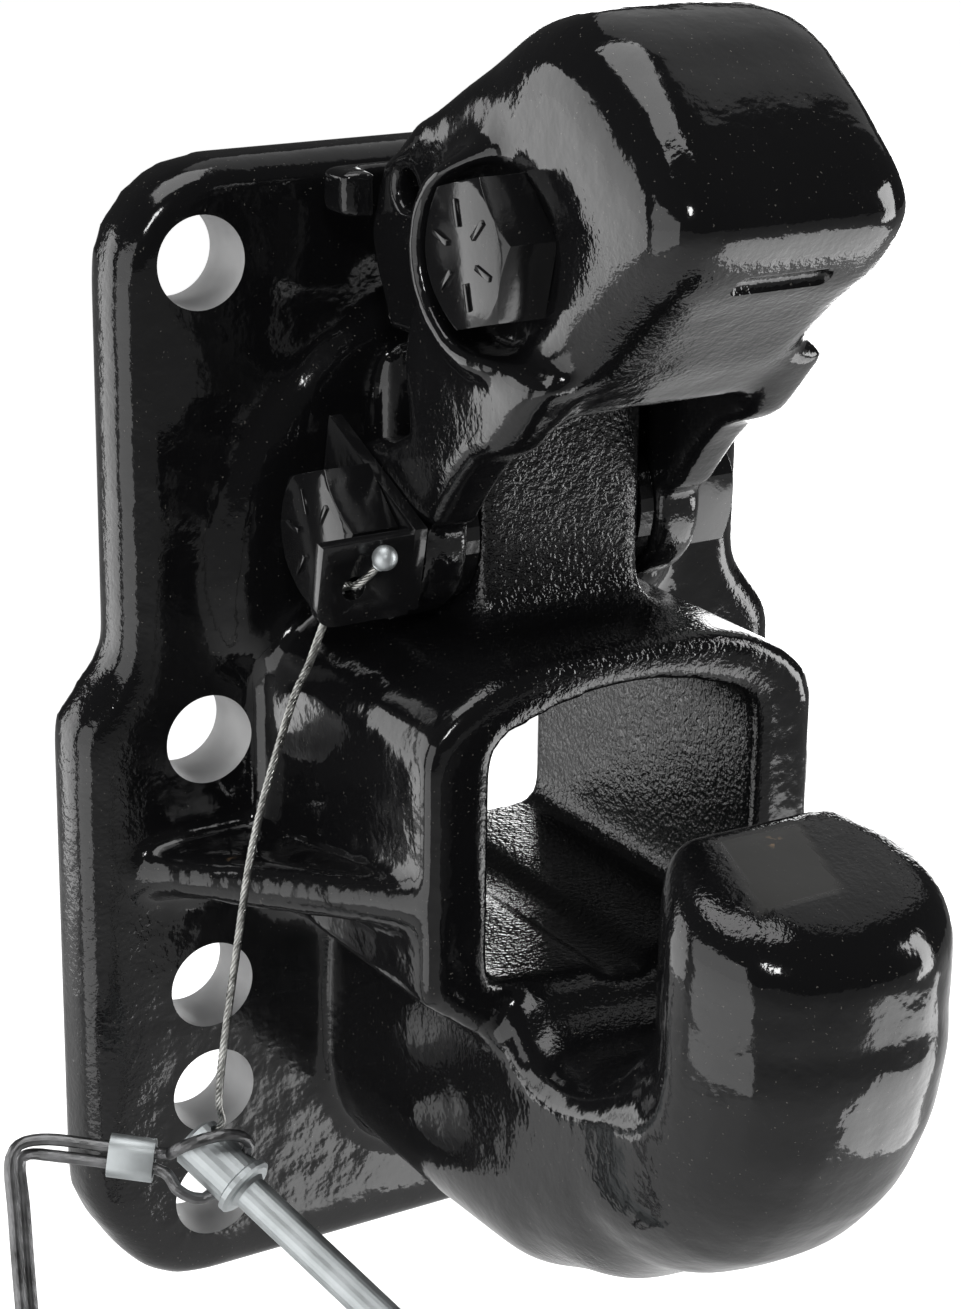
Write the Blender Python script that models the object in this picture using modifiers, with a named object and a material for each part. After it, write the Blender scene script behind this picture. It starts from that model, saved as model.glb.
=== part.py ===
"""Pintle hook with a sprung lock lever, a lanyard and a lock pin.

Blender 4.5. Sizes are in millimetres and become metres in point().
x runs across the hook, -y points forward and z goes up from the second bolt row.
"""
import bpy
import bmesh
import math
from mathutils import Matrix, Vector

MM = 0.001
GAP = 0.3

# Mounting plate
ORIGIN_HEIGHT = 54.0
PLATE_THICK = 16.6
PLATE_TOP = 129.0
PLATE_BOTTOM = -133.0
PLATE_UPPER_HALF = 82.75
PLATE_LOWER_HALF = 94.8
PLATE_TOP_RADIUS = 25.0
PLATE_BOTTOM_RADIUS = 30.0
SHOULDER_TOP = 24.0
SHOULDER_BOTTOM = 2.0
BOLT_HOLE_DIAMETER = 20.64
BOLT_COLUMN = 63.5
BOLT_ROWS = (108.0, 0.0, -60.3, -87.3, -114.3)

# Latch column and its pad
PIVOT_Y = -44.45
PIVOT_Z = 52.4
PIVOT_BOLT_DIAMETER = 19.05
COLUMN_FRONT = -62.0
COLUMN_HALF = 20.5
CROWN_RADIUS = 39.0
PAD_THICK = 4.0
PAD_RADIUS = 61.0
PAD_CENTRE_Z = 36.0
PAD_BOTTOM = 14.0

# Frame round the window
FRAME_FRONT = -89.6
FRAME_HALF = 49.75
FRAME_TOP = 33.5
FRAME_BOTTOM = -52.0
WINDOW_HALF = 34.0
WINDOW_FLOOR = -38.3
WINDOW_CROWN = 24.3
WINDOW_ARCH_RADIUS = 72.0
WINDOW_CORNER = 4.5
GROOVE_HALF = 6.35
GROOVE_DEPTH = 3.0

# Side ribs
RIB_THICK = 11.3
RIB_REACH = 79.0
RIB_FRONT_Z = -17.0
RIB_SLOPE = 0.17

# Shank, throat and horn
HORN_HALF = 32.5
THROAT_Y = -110.0
THROAT_Z = -28.0
THROAT_RADIUS = 21.0
HORN_FRONT = -178.5
HORN_TOP = 13.0
HORN_BACK_TOP = 4.0
HORN_RIM = 12.0
SHANK_BOTTOM = -115.0
BOTTOM_ROUND = 28.0
THROAT_ROUND = 12.0

# Latch
ARM_INNER = 24.5
ARM_OUTER = 36.5
LOBE_RADIUS = 19.5
BLOCK_HALF = 30.5
BLOCK_ROUND = 12.0
POCKET_FLOOR = 28.7
CROWN_CLEARANCE = 3.0
LOCK_Y = -86.0
LOCK_Z = 120.5
GUARD_Y = -84.0
GUARD_Z = 120.0
GUARD_RADIUS = 24.5
GUARD_WALL = 5.0
GUARD_RIM = 40.0
LOCK_PIN_HOLE_DIAMETER = 9.4
LOCK_PIN_HOLE_Y = -45.0
LOCK_PIN_HOLE_Z = 126.0
NOSE_SLIT_HALF = 9.3

# Lock lever and spring
SLOT_HALF = 14.0
SLOT_RADIUS = 17.0
HUB_RADIUS = 15.0
LEVER_LEFT = -6.0
TOOTH_CLEARANCE = 0.4
LIP_HALF = 38.0
LIP_INNER_RADIUS = 58.9
LIP_TOP = 127.5
LIP_BOTTOM = 118.0
LIP_BACK = -21.5
SPRING_WIRE = 1.6
SPRING_TURNS = 3
SPRING_PITCH = 1.95

# Bolts, nuts and washers
LOCK_BOLT_DIAMETER = 19.05
HEX_ACROSS_FLATS = 28.6
HEX_CHAMFER = 1.2
HEAD_HEIGHT = 12.0
NUT_HEIGHT = 10.7
BOLT_END = 1.8
LOCK_HEX_TURN = 44.0
WASHER_RADIUS = 17.0

# Lanyard bracket
BRACKET_THICK = 3.0
BRACKET_TILT = 11.0
BRACKET_BACK = 19.0
BRACKET_TOP = 19.0
BRACKET_BOTTOM = 14.0
FLANGE_END = -61.5
FLANGE_TOP = 9.4
FLANGE_BOTTOM = 9.6
FLANGE_CLEARANCE = 3.2
FLANGE_CORNER = 4.5
CABLE_HOLE_DIAMETER = 5.6
CABLE_HOLE_X = -53.2
CABLE_HOLE_DROP = 1.1

# Cable, pin and bail
CABLE_DIAMETER = 2.4
BALL_DIAMETER = 5.4
BALL_PLACE = (-48.9, -69.7, 54.9)
PIN_HEAD = (-81.5, -60.0, -83.6)
PIN_DIRECTION = (0.36, -0.8, -0.455)
PIN_DIAMETER = 7.94
PIN_LENGTH = 88.0
PIN_HEAD_DIAMETER = 12.0
PIN_HEAD_BACK = 11.5
PIN_HEAD_FRONT = 5.2
PIN_COLLAR_DIAMETER = 14.0
PIN_COLLAR_WIDTH = 2.4
PIN_STOP_DIAMETER = 4.4
PIN_STOP_BACK = 7.9
BAIL_WIRE = 2.9
BAIL_EYE = (0.626, -0.065, 0.78)
BAIL_SIDE = 1.0
HAIRPIN_PLAY = 0.4
HAIRPIN_WIDTH = 8.0
HAIRPIN_FROM_TIP = 14.0
FERRULE_START = (-95.2, -50.6, -81.2)
FERRULE_TOWARD = (-105.2, -43.7, -79.9)
FERRULE_LENGTH = 10.0
FERRULE_WALL = 1.0
FERRULE_PLAY = 0.35


def point(x, y, z):
    """Turn a place in millimetres into Blender's metres, from the plate's centre."""
    return Vector((x * MM, y * MM, (z - ORIGIN_HEIGHT) * MM))


def clear_scene():
    for old in list(bpy.data.objects):
        bpy.data.objects.remove(old, do_unlink=True)


def painted(name, colour, roughness, metallic):
    material = bpy.data.materials.new(name)
    material.use_nodes = True
    shader = material.node_tree.nodes["Principled BSDF"]
    shader.inputs["Base Color"].default_value = (*colour, 1.0)
    shader.inputs["Roughness"].default_value = roughness
    shader.inputs["Metallic"].default_value = metallic
    return material


def dress(piece, colour, roughness, metallic):
    piece.data.materials.clear()
    piece.data.materials.append(painted(piece.name + "_finish", colour, roughness, metallic))


def model_collection():
    name = "pintle_hook"
    if name not in bpy.data.collections:
        bpy.context.scene.collection.children.link(bpy.data.collections.new(name))
    return bpy.data.collections[name]


def tool_collection():
    name = "cutters_and_guides"
    if name not in bpy.data.collections:
        bpy.context.scene.collection.children.link(bpy.data.collections.new(name))
    return bpy.data.collections[name]


def from_bmesh(name, shape):
    bmesh.ops.recalc_face_normals(shape, faces=shape.faces)
    if shape.calc_volume(signed=True) < 0:
        bmesh.ops.reverse_faces(shape, faces=shape.faces)
    mesh = bpy.data.meshes.new(name)
    shape.to_mesh(mesh)
    shape.free()
    piece = bpy.data.objects.new(name, mesh)
    model_collection().objects.link(piece)
    return piece


def smooth(piece, angle=35.0):
    piece.data.shade_smooth()
    piece.data.set_sharp_from_angle(angle=math.radians(angle))


def placement(origin, direction):
    """Stand local Z along a direction, from a place in millimetres."""
    turn = Vector(direction).to_track_quat("Z", "Y").to_matrix().to_4x4()
    return Matrix.Translation(point(*origin)) @ turn


def from_curve(name, curve, frame):
    """Make a curve a closed mesh, put it in its frame and drop the curve."""
    holder = bpy.data.objects.new(name + "_curve", curve)
    tool_collection().objects.link(holder)
    bpy.context.view_layer.update()
    graph = bpy.context.evaluated_depsgraph_get()
    mesh = bpy.data.meshes.new_from_object(holder.evaluated_get(graph))
    shape = bmesh.new()
    shape.from_mesh(mesh)
    bmesh.ops.remove_doubles(shape, verts=shape.verts, dist=0.00001)
    if curve.dimensions == "2D":
        bmesh.ops.dissolve_limit(shape, angle_limit=0.001, verts=shape.verts, edges=shape.edges)
    shape.transform(frame)
    bpy.data.objects.remove(holder, do_unlink=True)
    return from_bmesh(name, shape)


def distinct(outline):
    """Leave out points that repeat the one before them."""
    kept = []
    for place in outline:
        if not kept or math.dist(place, kept[-1]) > 0.02:
            kept.append(place)
    if math.dist(kept[0], kept[-1]) < 0.02:
        kept.pop()
    return kept


def arc(centre_a, centre_b, radius, start, end, steps):
    """Points on an arc, angles in degrees from the first axis toward the second."""
    points = []
    for step in range(steps + 1):
        angle = math.radians(start + (end - start) * step / steps)
        points.append((centre_a + radius * math.cos(angle), centre_b + radius * math.sin(angle)))
    return points


def mirrored(half):
    """Close a half outline, listed from the bottom middle round the right side."""
    return half + [(-a, b) for a, b in reversed(half) if abs(a) > 1e-6]


def prism(name, outline, axis, low, high, slope=0.0):
    """Extrude (y, z), (x, z) or (x, y) points along X, Y or Z; a slope tips Z prisms along y."""
    if axis == "X":
        turn = Matrix(((0, 0, 1, 0), (1, 0, 0, 0), (0, 1, 0, 0), (0, 0, 0, 1)))
    elif axis == "Y":
        turn = Matrix(((1, 0, 0, 0), (0, 0, -1, 0), (0, 1, 0, 0), (0, 0, 0, 1)))
        low, high = -high, -low
    else:
        turn = Matrix(((1, 0, 0, 0), (0, 1, 0, 0), (0, slope, 1, 0), (0, 0, 0, 1)))
    return extruded(name, [outline], low, high, Matrix.Translation(point(0, 0, 0)) @ turn)


def extruded(name, outlines, low, high, frame):
    """Fill closed outlines, the inner ones as holes, and extrude them along the frame's Z."""
    curve = bpy.data.curves.new(name, "CURVE")
    curve.dimensions = "2D"
    curve.fill_mode = "BOTH"
    curve.extrude = (high - low) / 2 * MM
    for outline in outlines:
        places = distinct(outline)
        spline = curve.splines.new("POLY")
        spline.points.add(len(places) - 1)
        spline.use_cyclic_u = True
        for target, (a, b) in zip(spline.points, places):
            target.co = (a * MM, b * MM, 0.0, 1.0)
    return from_curve(name, curve, frame @ Matrix.Translation((0, 0, (low + high) / 2 * MM)))


def pillow(name, outline, half, radius, centre, wanted, steps=4):
    """A prism along X whose side edges are rounded toward a centre where the test passes."""
    layers = []
    for step in range(steps + 1):
        angle = math.pi / 2 * step / steps
        layers.append((-half + radius * (1 - math.cos(angle)), radius * (1 - math.sin(angle))))
    layers += [(-x, inset) for x, inset in reversed(layers)]
    rings = []
    for x, inset in layers:
        ring = []
        for y, z in outline:
            toward = Vector((centre[0] - y, centre[1] - z)).normalized()
            step = inset if wanted(y, z) else inset * 0.15
            ring.append(point(x, y + toward.x * step, z + toward.y * step))
        rings.append(ring)
    return stack(name, rings)


def stack(name, rings):
    """Close a skin over rings that have the same number of points."""
    shape = bmesh.new()
    loops = [[shape.verts.new(place) for place in ring] for ring in rings]
    count = len(rings[0])
    for lower, upper in zip(loops, loops[1:]):
        for index in range(count):
            other = (index + 1) % count
            shape.faces.new((lower[index], lower[other], upper[other], upper[index]))
    shape.faces.new(loops[0])
    shape.faces.new(list(reversed(loops[-1])))
    return from_bmesh(name, shape)


def turned(name, profile, origin, direction, segments=32):
    """Turn (distance, radius) pairs round an axis that starts at origin."""
    places = [(0.0, 0.0, profile[-1][0] * MM)]
    places += [(radius * MM, 0.0, distance * MM) for distance, radius in reversed(profile)]
    places.append((0.0, 0.0, profile[0][0] * MM))
    line = bpy.data.meshes.new(name)
    line.from_pydata(places, [(index, index + 1) for index in range(len(places) - 1)], [])
    guide = bpy.data.objects.new(name + "_profile", line)
    tool_collection().objects.link(guide)
    screw = guide.modifiers.new("turn", "SCREW")
    screw.axis = "Z"
    screw.angle = 2 * math.pi
    screw.steps = segments
    screw.render_steps = segments
    screw.use_merge_vertices = True
    screw.merge_threshold = 0.00001
    bpy.context.view_layer.update()
    graph = bpy.context.evaluated_depsgraph_get()
    shape = bmesh.new()
    shape.from_mesh(bpy.data.meshes.new_from_object(guide.evaluated_get(graph)))
    bmesh.ops.remove_doubles(shape, verts=shape.verts, dist=0.00001)
    shape.transform(placement(origin, direction))
    bpy.data.objects.remove(guide, do_unlink=True)
    return from_bmesh(name, shape)


def cylinder(name, origin, direction, radius, low, high, segments=32, turn=0.0):
    """A round bar, or a hexagonal one with six segments, between two distances along its axis."""
    frame = placement(origin, direction) @ Matrix.Translation((0, 0, (low + high) / 2 * MM))
    frame = frame @ Matrix.Rotation(math.radians(turn), 4, "Z")
    shape = bmesh.new()
    bmesh.ops.create_cone(shape, cap_ends=True, segments=segments, radius1=radius * MM,
                          radius2=radius * MM, depth=(high - low) * MM, matrix=frame)
    return from_bmesh(name, shape)


def cross_bar(name, y, z, radius, low, high, segments=32):
    """A round bar along X, for bores and eyes."""
    return cylinder(name, (0, y, z), (1, 0, 0), radius, low, high, segments)


def tidy_mesh(piece):
    """Weld points that a Boolean or a bevel left on top of each other."""
    shape = bmesh.new()
    shape.from_mesh(piece.data)
    bmesh.ops.remove_doubles(shape, verts=shape.verts, dist=0.00002)
    bmesh.ops.dissolve_degenerate(shape, edges=shape.edges, dist=0.00001)
    shape.to_mesh(piece.data)
    shape.free()


def combine(piece, tool, operation):
    """Join or cut with an exact Boolean and drop the tool."""
    model_collection().objects.unlink(tool)
    tool_collection().objects.link(tool)
    tool.display_type = "WIRE"
    tool.hide_render = True
    modifier = piece.modifiers.new("combine", "BOOLEAN")
    modifier.operation = operation
    modifier.solver = "EXACT"
    modifier.object = tool
    with bpy.context.temp_override(object=piece):
        bpy.ops.object.modifier_apply(modifier=modifier.name)
    bpy.data.objects.remove(tool, do_unlink=True)
    tidy_mesh(piece)
    return piece


def join(piece, *tools):
    for tool in tools:
        combine(piece, tool, "UNION")
    return piece


def cut(piece, *tools):
    for tool in tools:
        combine(piece, tool, "DIFFERENCE")
    return piece


def round_edges(piece, radius, segments, wanted, sharp=35.0):
    """Bevel the sharp edges whose two ends both pass the test, in millimetres."""
    shape = bmesh.new()
    shape.from_mesh(piece.data)

    def place(vertex):
        return (vertex.co.x / MM, vertex.co.y / MM, vertex.co.z / MM + ORIGIN_HEIGHT)

    edges = []
    for edge in shape.edges:
        if edge.calc_face_angle(0) > math.radians(sharp):
            if wanted(*place(edge.verts[0])) and wanted(*place(edge.verts[1])):
                edges.append(edge)
    bmesh.ops.bevel(shape, geom=edges, offset=radius * MM, segments=segments, profile=0.5,
                    affect="EDGES", clamp_overlap=True)
    shape.to_mesh(piece.data)
    shape.free()
    tidy_mesh(piece)
    return piece


def wire(name, route, diameter, samples):
    """A round wire along a smooth curve through the route's points."""
    curve = bpy.data.curves.new(name, "CURVE")
    curve.dimensions = "3D"
    curve.bevel_depth = diameter / 2 * MM
    curve.bevel_resolution = 2
    curve.use_fill_caps = True
    places = smooth_route([point(*place) for place in route], samples)
    spline = curve.splines.new("POLY")
    spline.points.add(len(places) - 1)
    for target, place in zip(spline.points, places):
        target.co = (*place, 1.0)
    return from_curve(name, curve, Matrix.Identity(4))


def smooth_route(points, samples):
    """Even points along a Catmull-Rom curve through the given points."""
    dense = []
    padded = [2 * points[0] - points[1]] + points + [2 * points[-1] - points[-2]]
    for a, b, c, d in zip(padded, padded[1:], padded[2:], padded[3:]):
        for step in range(40):
            t = step / 40
            dense.append(0.5 * (2 * b + (c - a) * t + (2 * a - 5 * b + 4 * c - d) * t * t
                                + (3 * b - a - 3 * c + d) * t ** 3))
    dense.append(points[-1])
    lengths = [0.0]
    for before, after in zip(dense, dense[1:]):
        lengths.append(lengths[-1] + (after - before).length)
    even = []
    index = 0
    for sample in range(samples):
        wanted = lengths[-1] * sample / (samples - 1)
        while index < len(lengths) - 2 and lengths[index + 1] < wanted:
            index += 1
        span = lengths[index + 1] - lengths[index]
        share = min(1.0, (wanted - lengths[index]) / span)
        even.append(dense[index].lerp(dense[index + 1], share))
    return even


def plate_outline():
    top_corner = arc(PLATE_UPPER_HALF - PLATE_TOP_RADIUS, PLATE_TOP - PLATE_TOP_RADIUS,
                     PLATE_TOP_RADIUS, 0, 90, 6)
    bottom_corner = arc(PLATE_LOWER_HALF - PLATE_BOTTOM_RADIUS, PLATE_BOTTOM + PLATE_BOTTOM_RADIUS,
                        PLATE_BOTTOM_RADIUS, -90, 0, 6)
    shoulder = []
    for step in range(7):
        share = step / 6
        blend = (1 - math.cos(math.pi * share)) / 2
        half = PLATE_LOWER_HALF + (PLATE_UPPER_HALF - PLATE_LOWER_HALF) * blend
        shoulder.append((half, SHOULDER_BOTTOM + (SHOULDER_TOP - SHOULDER_BOTTOM) * share))
    return mirrored(bottom_corner + shoulder + top_corner)


def plate_with_pad():
    plate = prism("hook_body", plate_outline(), "Y", -PLATE_THICK, 0)
    round_edges(plate, 7, 3, lambda x, y, z: y < -PLATE_THICK + 1, 60)
    pad_half = [(0, PAD_BOTTOM), (PAD_RADIUS - 12, PAD_BOTTOM)]
    pad_half += arc(0, PAD_CENTRE_Z, PAD_RADIUS, -14, 76, 10)
    pad_half += [(0, PAD_CENTRE_Z + PAD_RADIUS * 0.96)]
    pad = prism("pad", mirrored(pad_half), "Y", -PLATE_THICK - PAD_THICK, -PLATE_THICK + 3)
    round_edges(pad, PAD_THICK - 0.5, 2, lambda x, y, z: y < -PLATE_THICK - PAD_THICK + 1 and z > PAD_BOTTOM + 1)
    return join(plate, pad)


def column():
    """The upright that carries the latch, with its crown concentric with the pivot."""
    foot = FRAME_TOP - 18
    front_angle = math.degrees(math.acos((COLUMN_FRONT + 2 - PIVOT_Y) / CROWN_RADIUS))
    back_angle = math.degrees(math.acos((-PLATE_THICK + 2 - PIVOT_Y) / CROWN_RADIUS))
    crown = arc(PIVOT_Y, PIVOT_Z, CROWN_RADIUS, back_angle, front_angle, 10)
    front_top = PIVOT_Z + math.sqrt(CROWN_RADIUS ** 2 - (COLUMN_FRONT + 2 - PIVOT_Y) ** 2)
    side = [(-8, foot), (-8, crown[0][1])] + crown
    side += [(COLUMN_FRONT, front_top - 4), (COLUMN_FRONT, FRAME_TOP + 7)]
    side += arc(COLUMN_FRONT - 7, FRAME_TOP + 7, 7, 0, -90, 4)[1:]
    side += [(COLUMN_FRONT - 7, foot)]
    body = prism("column", side, "X", -COLUMN_HALF, COLUMN_HALF)
    round_edges(body, 3, 2, lambda x, y, z: y < COLUMN_FRONT + 1 and z > FRAME_TOP + 6)
    flare = [(0, -8), (COLUMN_HALF + 12, -8)]
    flare += arc(COLUMN_HALF + 12, -PLATE_THICK - PAD_THICK - 8, 12, 90, 180, 5)
    flare += [(0, -PLATE_THICK - PAD_THICK - 8)]
    root = prism("root", mirrored(flare), "Z", foot, crown[0][1] + 2)
    return join(body, root)


def frame_box():
    """The box round the window, arched on top and rounded into the shank below."""
    half = [(0, FRAME_BOTTOM), (HORN_HALF, FRAME_BOTTOM), (HORN_HALF + 8, FRAME_BOTTOM + 6)]
    half += [(FRAME_HALF, WINDOW_FLOOR - 1), (FRAME_HALF, FRAME_TOP - 19)]
    half += [(FRAME_HALF - 2, FRAME_TOP - 13), (FRAME_HALF - 7, FRAME_TOP - 8.5)]
    half += [(FRAME_HALF - 16, FRAME_TOP - 3.6), (COLUMN_HALF + 2, FRAME_TOP - 0.4), (0, FRAME_TOP)]
    box = prism("frame", mirrored(half), "Y", FRAME_FRONT, -8)
    round_edges(box, 7.5, 4, lambda x, y, z: y < FRAME_FRONT + 1 and z > FRAME_TOP - 14)
    round_edges(box, 4, 2, lambda x, y, z: y < FRAME_FRONT + 1 and abs(x) > FRAME_HALF - 1)
    return box


def window_cutter():
    arch_centre = WINDOW_CROWN - WINDOW_ARCH_RADIUS
    corner = 9.0
    spread = math.degrees(math.asin((WINDOW_HALF - corner + 2) / WINDOW_ARCH_RADIUS))
    arch = arc(0, arch_centre, WINDOW_ARCH_RADIUS, 90 - spread, 90, 6)
    half = [(0, WINDOW_FLOOR)]
    half += arc(WINDOW_HALF - WINDOW_CORNER, WINDOW_FLOOR + WINDOW_CORNER, WINDOW_CORNER, -90, 0, 4)
    half += arc(WINDOW_HALF - corner, arch[0][1] - corner + 0.8, corner, 0, 60, 4)
    half += arch
    return prism("window", mirrored(half), "Y", -93.0, 5)


def groove_cutter():
    outline = [(-GROOVE_HALF, 5), (-GROOVE_HALF, -90)]
    outline += arc(0, -90, GROOVE_HALF, 180, 360, 6)[1:]
    outline += [(GROOVE_HALF, 5)]
    return prism("groove", outline, "Z", WINDOW_FLOOR - GROOVE_DEPTH, WINDOW_FLOOR + 5)


def rib(side):
    """A web from the frame's side to the plate, lower at the plate."""
    outline = [(side * 40, FRAME_FRONT + 3), (side * FRAME_HALF, FRAME_FRONT + 1)]
    outline += [(side * RIB_REACH, -PLATE_THICK - 5), (side * (RIB_REACH + 5), -PLATE_THICK)]
    outline += [(side * (RIB_REACH + 5), -8), (side * 40, -8)]
    shift = RIB_SLOPE * FRAME_FRONT
    low = RIB_FRONT_Z - RIB_THICK / 2 + shift
    web = prism("rib", outline, "Z", low, low + RIB_THICK, -RIB_SLOPE)
    return round_edges(web, 3.5, 3, lambda x, y, z: abs(x) > FRAME_HALF - 2, 60)


def section(inner, outer, half, inner_round, outer_round, inset=0.0, rise=0.0):
    """A rounded section that stands on the line from an inner to an outer point."""
    span = math.hypot(outer[0] - inner[0], outer[1] - inner[1])
    along = ((outer[0] - inner[0]) / span, (outer[1] - inner[1]) / span)
    lift = (along[1], -along[0])
    half -= inset
    near = inset
    far = span - inset
    inner_round = max(inner_round - inset, 2.0)
    outer_round = max(outer_round - inset, 2.0)
    flat = arc(half - outer_round, far - outer_round, outer_round, 90, 0, 6)
    flat += arc(half - inner_round, near + inner_round, inner_round, 0, -90, 5)
    ring = flat + [(-a, b) for a, b in reversed(flat)]
    places = []
    for across, reach in ring:
        y = inner[0] + along[0] * reach + lift[0] * rise
        z = inner[1] + along[1] * reach + lift[1] * rise
        places.append(point(across, y, z))
    return places


def horn():
    """Shank, throat and horn as one skin over sections that turn round the throat."""
    top_of_shank = WINDOW_FLOOR - 5
    stations = [((-5, top_of_shank), (-5, SHANK_BOTTOM + 1))]
    stations += [((-45, top_of_shank), (-45, SHANK_BOTTOM))]
    stations += [((-78, top_of_shank), (-76, SHANK_BOTTOM))]
    outer = [(-95, SHANK_BOTTOM), (-113, -113.5), (-129, -107), (-144.5, -95.5), (-157, -81)]
    outer += [(-166.5, -65), (-174, -48), (HORN_FRONT + 0.8, -32), (HORN_FRONT, -16)]
    turn = arc(THROAT_Y, THROAT_Z, THROAT_RADIUS, -35, -180, len(outer) - 2)
    throat = turn + [(turn[-1][0], THROAT_Z + 12)]
    stations += list(zip(throat, outer))
    rings = [section(near, far, HORN_HALF, THROAT_ROUND, BOTTOM_ROUND) for near, far in stations]
    base_in = (throat[-1][0], HORN_BACK_TOP - HORN_RIM)
    base_out = (HORN_FRONT, HORN_TOP - HORN_RIM)
    for step in range(6):
        angle = math.pi / 2 * step / 5
        inset = HORN_RIM * (1 - math.cos(angle))
        rise = HORN_RIM * math.sin(angle)
        rings.append(section(base_in, base_out, HORN_HALF, THROAT_ROUND, BOTTOM_ROUND, inset, rise))
    return stack("horn", rings)


def bolt_holes():
    holes = []
    for height in BOLT_ROWS:
        for side in (-1, 1):
            place = (side * BOLT_COLUMN, 0, height)
            reach = FRAME_FRONT
            holes.append(cylinder("hole", place, (0, 1, 0), BOLT_HOLE_DIAMETER / 2, reach, 10, 24))
    return holes


def make_hook_body():
    body = plate_with_pad()
    join(body, frame_box(), column(), horn(), rib(-1), rib(1))
    cut(body, window_cutter(), groove_cutter(), *bolt_holes())
    bore = PIVOT_BOLT_DIAMETER / 2 + GAP
    cut(body, cross_bar("bore", PIVOT_Y, PIVOT_Z, bore, -COLUMN_HALF - 5, COLUMN_HALF + 5))
    for side in (-1, 1):
        low, high = sorted((side * (COLUMN_HALF + GAP), side * (ARM_OUTER + 2)))
        cut(body, cross_bar("relief", PIVOT_Y, PIVOT_Z, LOBE_RADIUS + 1.5, low, high, 40))
    smooth(body)
    dress(body, (0.012, 0.012, 0.013), 0.22, 0.0)
    return body


def block_outline():
    """The latch seen from the side, without its arms, from the back round the top."""
    under = arc(PIVOT_Y, PIVOT_Z, CROWN_RADIUS + CROWN_CLEARANCE, 128, 80, 6)
    outline = [(-28.5, 114), (-31, 122), (-34, 130), (-41, 136), (-47, 142), (-53, 145)]
    outline += [(-63, 151.5), (-74, 158.5), (-85, 163.5), (-97, 166), (-107, 165), (-114, 161.5)]
    outline += [(-121, 154.5), (-129, 145), (-136.5, 136), (-139.5, 131.5), (-138, 126.5)]
    outline += [(-125, 113.5), (-110.7, 99.8), (-96, 87), (-80, 86)]
    return outline + under + [(-35, 99), (-30.5, 108)]


def arm_outline():
    lobe = arc(PIVOT_Y, PIVOT_Z, LOBE_RADIUS, 165, 455, 22)
    outline = lobe + [(-56, 77), (-55, 83), (-53, 92), (-56, 104), (-62, 112)]
    outline += [(GUARD_Y + 15, GUARD_Z - 16), (GUARD_Y, GUARD_Z - 21.5), (GUARD_Y - 14, GUARD_Z - 20)]
    outline += [(-108, 98), (-94, 81), (-83, 76.5), (-77, 71), (-72, 65), (-67, 58.5)]
    return outline


def guard(side):
    """A wall round the lock bolt's end, open toward the nose, with an ear at its lower end."""
    stations = ((92, 30.5, 0), (74, 35, 0), (55, GUARD_RIM - 1, 0), (35, GUARD_RIM, 0), (15, GUARD_RIM, 0),
                (-5, GUARD_RIM, 0), (-25, GUARD_RIM, 0), (-45, GUARD_RIM, 0), (-65, GUARD_RIM, 0),
                (-85, GUARD_RIM, 0), (-105, GUARD_RIM - 2, 1), (-122, 36, 3.5), (-136, 31, 9.5))
    rings = []
    for angle, rim, flare in stations:
        cosine = math.cos(math.radians(angle))
        sine = math.sin(math.radians(angle))
        inner = GUARD_RADIUS - GUARD_WALL + flare
        outer = GUARD_RADIUS + flare
        ring = []
        for across, reach in ((22, inner), (22, outer), (rim - 1.5, outer), (rim, outer - 1.5),
                              (rim, inner + 1), (rim - 1, inner)):
            ring.append(point(side * across, GUARD_Y + reach * cosine, GUARD_Z + reach * sine))
        rings.append(ring)
    return stack("guard", rings)


def slot_outline():
    outline = arc(LOCK_Y, LOCK_Z, SLOT_RADIUS, 95, 270, 12)
    outline += [(-62, 97), (-58, 80), (-12, 80), (-12, 165), (-56, 165), (-58, 153)]
    return outline


def make_latch():
    latch = pillow("latch", block_outline(), BLOCK_HALF, BLOCK_ROUND, (LOCK_Y - 12, LOCK_Z + 12),
                   lambda y, z: y < -70 and z > 95)
    for side in (-1, 1):
        low, high = sorted((side * ARM_INNER, side * ARM_OUTER))
        arm = prism("arm", arm_outline(), "X", low, high)
        round_edges(arm, 3, 2, lambda x, y, z: abs(x) > ARM_OUTER - 1, 50)
        join(latch, arm, guard(side))
    cut(latch, prism("slot", slot_outline(), "X", -SLOT_HALF, SLOT_HALF))
    clearance = LOCK_BOLT_DIAMETER / 2 + GAP
    cut(latch, cross_bar("lock_bore", LOCK_Y, LOCK_Z, clearance, -60, 60))
    clearance = PIVOT_BOLT_DIAMETER / 2 + GAP
    cut(latch, cross_bar("pivot_bore", PIVOT_Y, PIVOT_Z, clearance, -60, 60))
    pin = LOCK_PIN_HOLE_DIAMETER / 2
    cut(latch, cross_bar("pin_bore", LOCK_PIN_HOLE_Y, LOCK_PIN_HOLE_Z, pin, -60, 60, 20))
    for side in (-1, 1):
        low, high = sorted((side * POCKET_FLOOR, side * 60))
        radius = GUARD_RADIUS - GUARD_WALL
        cut(latch, cross_bar("pocket", GUARD_Y, GUARD_Z, radius, low, high, 40))
    slit = [(-150, 121), (-150, 125), (-139, 123.5), (-134, 118), (-136, 116), (-140, 120)]
    cut(latch, prism("slit", slit, "X", -NOSE_SLIT_HALF, NOSE_SLIT_HALF))
    smooth(latch)
    dress(latch, (0.016, 0.016, 0.017), 0.2, 0.0)
    return latch


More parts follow.
